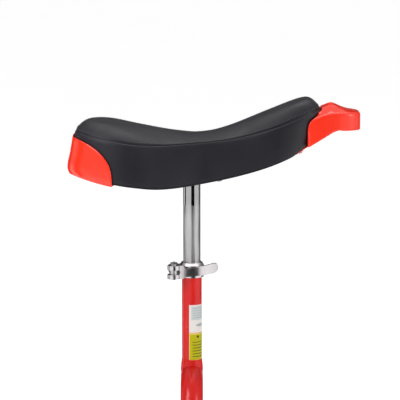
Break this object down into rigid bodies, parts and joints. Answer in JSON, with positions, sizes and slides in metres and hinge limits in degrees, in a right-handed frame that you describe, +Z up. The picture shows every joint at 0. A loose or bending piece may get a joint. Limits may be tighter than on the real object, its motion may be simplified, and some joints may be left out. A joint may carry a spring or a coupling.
{
  "type": "unicycle",
  "caption": "Learner's unicycle with a tubular fork, spoked wheel, quick-release seat post and padded saddle with plastic bumpers.",
  "frame": {"origin": "the point on the ground straight under the axle, in the wheel's middle plane", "axes": "+X forwards (the saddle's grab handle), +Y to the rider's left along the axle, +Z up"},
  "size_m": [0.492, 0.369, 0.8928],
  "materials": {
    "frame_paint": "gloss",
    "bumper_plastic": "gloss",
    "cover_vinyl": "satin",
    "foam": "matte",
    "base_plastic": "matte",
    "post_chrome": "polished",
    "clamp_chrome": "satin",
    "steel": "satin",
    "crank_steel": "satin",
    "hub_alloy": "satin",
    "rim_alloy": "satin",
    "nipple_brass": "satin",
    "tyre_rubber": "matte",
    "tube_rubber": "matte",
    "seal_rubber": "matte",
    "pedal_plastic": "matte",
    "cap_plastic": "matte",
    "reflector": "gloss"
  },
  "bodies": {
    "frame": {"seat_tube": "frame_paint", "crown_weld": "frame_paint", "fork_arch": "frame_paint", "left_leg": "frame_paint", "right_leg": "frame_paint", "left_bearing_housing": "frame_paint", "right_bearing_housing": "frame_paint", "left_bearing_cap": "frame_paint", "right_bearing_cap": "frame_paint", "bearing_cap_bolts": "steel", "left_bearing_outer_race": "steel", "right_bearing_outer_race": "steel", "bearing_seals": "seal_rubber"},
    "clamp": {"clamp_collar": "clamp_chrome", "clamp_skewer": "steel", "clamp_pin": "steel", "cam_washer": "base_plastic"},
    "lever": {"clamp_lever": "clamp_chrome"},
    "tension_nut": {"clamp_nut": "clamp_chrome"},
    "wheel": {"axle": "steel", "hub_shell": "hub_alloy", "spokes": "steel", "spoke_nipples": "nipple_brass", "rim": "rim_alloy", "rim_tape": "seal_rubber", "inner_tube": "tube_rubber", "valve_stem": "steel", "valve_cap": "cap_plastic", "tyre": "tyre_rubber", "left_crank": "crank_steel", "right_crank": "crank_steel", "crank_bolts": "steel", "crank_dust_caps": "cap_plastic", "left_bearing_inner_race": "steel", "right_bearing_inner_race": "steel", "left_pedal_spindle": "steel", "right_pedal_spindle": "steel"},
    "left_balls": {"left_bearing_balls": "steel"},
    "right_balls": {"right_bearing_balls": "steel"},
    "left_pedal": {"left_pedal_body": "pedal_plastic", "left_pedal_rails": "pedal_plastic", "left_pedal_bushes": "steel", "left_pedal_reflectors": "reflector", "left_pedal_end_cap": "cap_plastic"},
    "right_pedal": {"right_pedal_body": "pedal_plastic", "right_pedal_rails": "pedal_plastic", "right_pedal_bushes": "steel", "right_pedal_reflectors": "reflector", "right_pedal_end_cap": "cap_plastic"},
    "seat": {"seat_post": "post_chrome", "post_plate": "clamp_chrome", "saddle_base": "base_plastic", "saddle_foam": "foam", "saddle_cover": "cover_vinyl", "rear_bumper": "bumper_plastic", "front_bumper": "bumper_plastic", "grab_handle": "bumper_plastic", "mounting_studs": "steel", "mounting_nuts": "steel", "bumper_screws": "steel"}
  },
  "joints": [
    {"name": "wheel_spin", "type": "hinge", "parent": "frame", "child": "wheel", "pos_m": [0, 0, 0.246], "axis": [0, 1, 0], "continuous": true},
    {"name": "left_pedal_spin", "type": "hinge", "parent": "wheel", "child": "left_pedal", "pos_m": [-0.125, 0, 0.246], "axis": [0, 1, 0], "continuous": true},
    {"name": "right_pedal_spin", "type": "hinge", "parent": "wheel", "child": "right_pedal", "pos_m": [0.125, 0, 0.246], "axis": [0, 1, 0], "continuous": true},
    {"name": "left_ball_roll", "type": "hinge", "parent": "frame", "child": "left_balls", "pos_m": [0, 0, 0.246], "axis": [0, 1, 0], "continuous": true},
    {"name": "right_ball_roll", "type": "hinge", "parent": "frame", "child": "right_balls", "pos_m": [0, 0, 0.246], "axis": [0, 1, 0], "continuous": true},
    {"name": "seat_height", "type": "slide", "parent": "frame", "child": "seat", "axis": [0, 0, 1], "range_m": [-0.05, 0.02]},
    {"name": "clamp_swivel", "type": "hinge", "parent": "frame", "child": "clamp", "pos_m": [0, 0, 0.662], "axis": [0, 0, 1], "continuous": true},
    {"name": "lever_swing", "type": "hinge", "parent": "clamp", "child": "lever", "pos_m": [-0.023, -0.0165, 0.662], "axis": [0, 0, -1], "range_deg": [0, 150]},
    {"name": "tension_nut_turn", "type": "hinge", "parent": "clamp", "child": "tension_nut", "pos_m": [-0.023, 0, 0.672], "axis": [0, 1, 0], "continuous": true}
  ],
  "couplings": [
    {"joint": "left_ball_roll", "follows": "wheel_spin", "ratio": 0.3846},
    {"joint": "right_ball_roll", "follows": "wheel_spin", "ratio": 0.3846}
  ]
}
